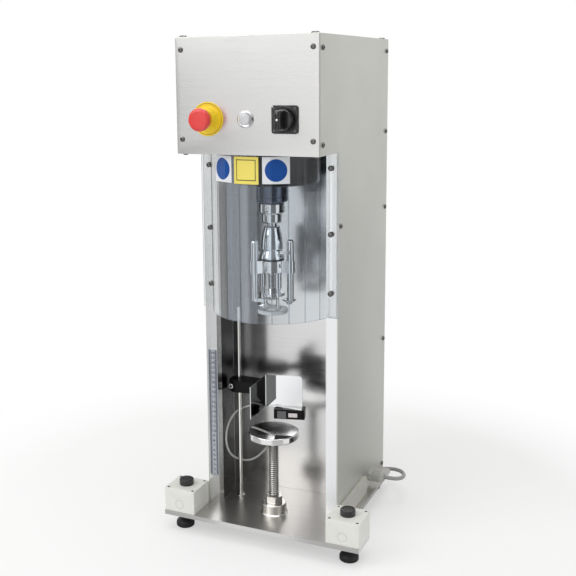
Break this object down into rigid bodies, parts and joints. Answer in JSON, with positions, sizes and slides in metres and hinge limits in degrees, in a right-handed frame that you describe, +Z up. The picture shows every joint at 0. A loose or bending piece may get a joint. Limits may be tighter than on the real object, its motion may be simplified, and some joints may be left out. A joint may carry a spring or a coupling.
{
  "type": "bottle capping machine",
  "caption": "Bench-top semi-automatic roll-on capping machine: sheet-steel column, bowed clear guard, three-roller head, height-set bottle platform and locator",
  "frame": {"origin": "on the floor under the machine, midway between the front of the emergency button and the rear panel, and midway between the button boxes", "axes": "+X to the operator's right, +Y to the rear, +Z up"},
  "size_m": [0.4003, 0.572, 0.9528],
  "materials": {
    "base_steel": "brushed and reflective",
    "post_steel": "bright satin",
    "side_steel": "warm satin sheet",
    "front_steel": "fine brushed sheet",
    "liner_steel": "brushed and reflective",
    "guard_clear": "clear polycarbonate",
    "screw_steel": "polished dome screws",
    "estop_yellow": "gloss",
    "estop_red": "gloss",
    "pilot_metal": "polished bezel and milky lens",
    "switch_black": "satin",
    "knob_black": "satin",
    "housing_black": "satin black",
    "quill_steel": "dark ground steel",
    "motor_metal": "cast",
    "gear_steel": "machined",
    "head_steel": "polished stainless",
    "cone_steel": "ground stainless",
    "ring_plastic": "white",
    "nut_steel": "polished",
    "disc_steel": "mirror-polished",
    "rod_steel": "ground and polished",
    "clamp_black": "black",
    "bar_black": "black",
    "mirror_steel": "mirror-polished sheet",
    "sensor_black": "satin",
    "box_grey": "moulded light grey",
    "button_black": "black",
    "duct_metal": "painted grey",
    "gland_grey": "grey nylon",
    "grommet_rubber": "black",
    "cable_grey": "grey sheath",
    "plug_grey": "moulded grey",
    "lead_grey": "light grey sheath",
    "roller_steel": "hardened and polished",
    "foot_rubber": "black"
  },
  "bodies": {
    "frame": {"base_plate": "base_steel", "post_left": "post_steel", "post_right": "post_steel", "side_panel_left": "side_steel", "side_panel_right": "side_steel", "rear_panel": "side_steel", "top_cover": "side_steel", "front_panel": "front_steel", "head_floor": "side_steel", "channel_liner": "liner_steel", "guard": "guard_clear", "cover_screws": "screw_steel", "estop_base": "estop_yellow", "pilot_light": "pilot_metal", "switch_plate": "switch_black", "guide_housing": "housing_black", "lift_motor": "motor_metal", "guide_rod": "rod_steel", "button_box_left": "box_grey", "button_box_right": "box_grey", "box_lids": "box_grey", "button_bezels": "button_black", "cable_ducts": "duct_metal", "cable_gland": "gland_grey", "wall_grommet": "grommet_rubber", "mains_cable": "cable_grey", "mains_coil": "cable_grey", "mains_plug": "plug_grey", "sensor_cable": "lead_grey"},
    "quill": {"quill": "quill_steel", "spindle_motor": "motor_metal"},
    "lift_pinion": {"lift_pinion": "gear_steel"},
    "spindle": {"spindle": "head_steel", "head_hub": "head_steel"},
    "presser": {"head_cone": "cone_steel", "pressure_plate": "head_steel", "centring_ring": "ring_plastic"},
    "roller_arm_1": {"roller_arm_1": "head_steel"},
    "form_roller_1": {"form_roller_1": "roller_steel"},
    "roller_arm_2": {"roller_arm_2": "head_steel"},
    "form_roller_2": {"form_roller_2": "roller_steel"},
    "roller_arm_3": {"roller_arm_3": "head_steel"},
    "form_roller_3": {"form_roller_3": "roller_steel"},
    "platform": {"threaded_post": "nut_steel", "platform": "disc_steel"},
    "lock_nut": {"lock_nut": "nut_steel"},
    "locator_clamp": {"locator_clamp": "clamp_black"},
    "locator": {"locator_bar": "bar_black", "locator_plate": "mirror_steel", "locator_sensor": "sensor_black"},
    "start_button_left": {"start_button_left": "button_black"},
    "start_button_right": {"start_button_right": "button_black"},
    "estop_button": {"estop_button": "estop_red"},
    "switch_knob": {"switch_knob": "knob_black"},
    "foot_front_left": {"foot_front_left": "foot_rubber"},
    "foot_front_right": {"foot_front_right": "foot_rubber"},
    "foot_rear_left": {"foot_rear_left": "foot_rubber"},
    "foot_rear_right": {"foot_rear_right": "foot_rubber"}
  },
  "joints": [
    {"name": "quill_slide", "type": "slide", "parent": "frame", "child": "quill", "axis": [0, 0, -1], "range_m": [0, 0.06]},
    {"name": "pinion_turn", "type": "hinge", "parent": "frame", "child": "lift_pinion", "pos_m": [0, 0.0045, 0.834], "axis": [1, 0, 0], "range_deg": [-1, 216]},
    {"name": "spindle_spin", "type": "hinge", "parent": "quill", "child": "spindle", "pos_m": [0, -0.0665, 0.6], "axis": [0, 0, 1], "continuous": true},
    {"name": "press_slide", "type": "slide", "parent": "spindle", "child": "presser", "axis": [0, 0, 1], "range_m": [0, 0.006], "stiffness_N_per_m": 3000, "springref_m": -0.004},
    {"name": "arm_1_swing", "type": "hinge", "parent": "spindle", "child": "roller_arm_1", "pos_m": [-0.0218, -0.09763, 0.53], "axis": [0, 0, 1], "range_deg": [-0.1, 9.5]},
    {"name": "arm_2_swing", "type": "hinge", "parent": "spindle", "child": "roller_arm_2", "pos_m": [0.03785, -0.06981, 0.53], "axis": [0, 0, 1], "range_deg": [-0.1, 9.5]},
    {"name": "arm_3_swing", "type": "hinge", "parent": "spindle", "child": "roller_arm_3", "pos_m": [-0.01606, -0.03206, 0.53], "axis": [0, 0, 1], "range_deg": [-0.1, 9.5]},
    {"name": "roller_1_spin", "type": "hinge", "parent": "roller_arm_1", "child": "form_roller_1", "pos_m": [-0.00329, -0.09783, 0.463], "axis": [0, 0, 1], "continuous": true},
    {"name": "roller_2_spin", "type": "hinge", "parent": "roller_arm_2", "child": "form_roller_2", "pos_m": [0.02878, -0.05369, 0.463], "axis": [0, 0, 1], "continuous": true},
    {"name": "roller_3_spin", "type": "hinge", "parent": "roller_arm_3", "child": "form_roller_3", "pos_m": [-0.02548, -0.04798, 0.463], "axis": [0, 0, 1], "continuous": true},
    {"name": "platform_height", "type": "slide", "parent": "frame", "child": "platform", "axis": [0, 0, 1], "range_m": [-0.028, 0.012]},
    {"name": "lock_nut_turn", "type": "hinge", "parent": "frame", "child": "lock_nut", "pos_m": [0, -0.0665, 0.067], "axis": [0, 0, 1], "continuous": true},
    {"name": "locator_height", "type": "slide", "parent": "frame", "child": "locator_clamp", "axis": [0, 0, 1], "range_m": [-0.018, 0.068]},
    {"name": "locator_reach", "type": "slide", "parent": "locator_clamp", "child": "locator", "axis": [0.8, -0.6, 0], "range_m": [0, 0.02]},
    {"name": "start_left_press", "type": "slide", "parent": "frame", "child": "start_button_left", "axis": [0, 0, -1], "range_m": [0, 0.004], "stiffness_N_per_m": 600, "springref_m": -0.003},
    {"name": "start_right_press", "type": "slide", "parent": "frame", "child": "start_button_right", "axis": [0, 0, -1], "range_m": [0, 0.004], "stiffness_N_per_m": 600, "springref_m": -0.003},
    {"name": "estop_press", "type": "slide", "parent": "frame", "child": "estop_button", "axis": [0, 1, 0], "range_m": [0, 0.004]},
    {"name": "switch_turn", "type": "hinge", "parent": "frame", "child": "switch_knob", "pos_m": [0.0735, -0.1775, 0.808], "axis": [0, 1, 0], "range_deg": [0, 90]},
    {"name": "foot_front_left_turn", "type": "hinge", "parent": "frame", "child": "foot_front_left", "pos_m": [-0.171, -0.1165, 0.01], "axis": [0, 0, 1], "continuous": true},
    {"name": "foot_front_right_turn", "type": "hinge", "parent": "frame", "child": "foot_front_right", "pos_m": [0.171, -0.1165, 0.01], "axis": [0, 0, 1], "continuous": true},
    {"name": "foot_rear_left_turn", "type": "hinge", "parent": "frame", "child": "foot_rear_left", "pos_m": [-0.117, 0.1955, 0.01], "axis": [0, 0, 1], "continuous": true},
    {"name": "foot_rear_right_turn", "type": "hinge", "parent": "frame", "child": "foot_rear_right", "pos_m": [0.117, 0.1955, 0.01], "axis": [0, 0, 1], "continuous": true}
  ],
  "couplings": [
    {"joint": "pinion_turn", "follows": "quill_slide", "rad_per_m": 62.5},
    {"joint": "arm_1_swing", "follows": "press_slide", "rad_per_m": 27},
    {"joint": "arm_2_swing", "follows": "press_slide", "rad_per_m": 27},
    {"joint": "arm_3_swing", "follows": "press_slide", "rad_per_m": 27}
  ]
}
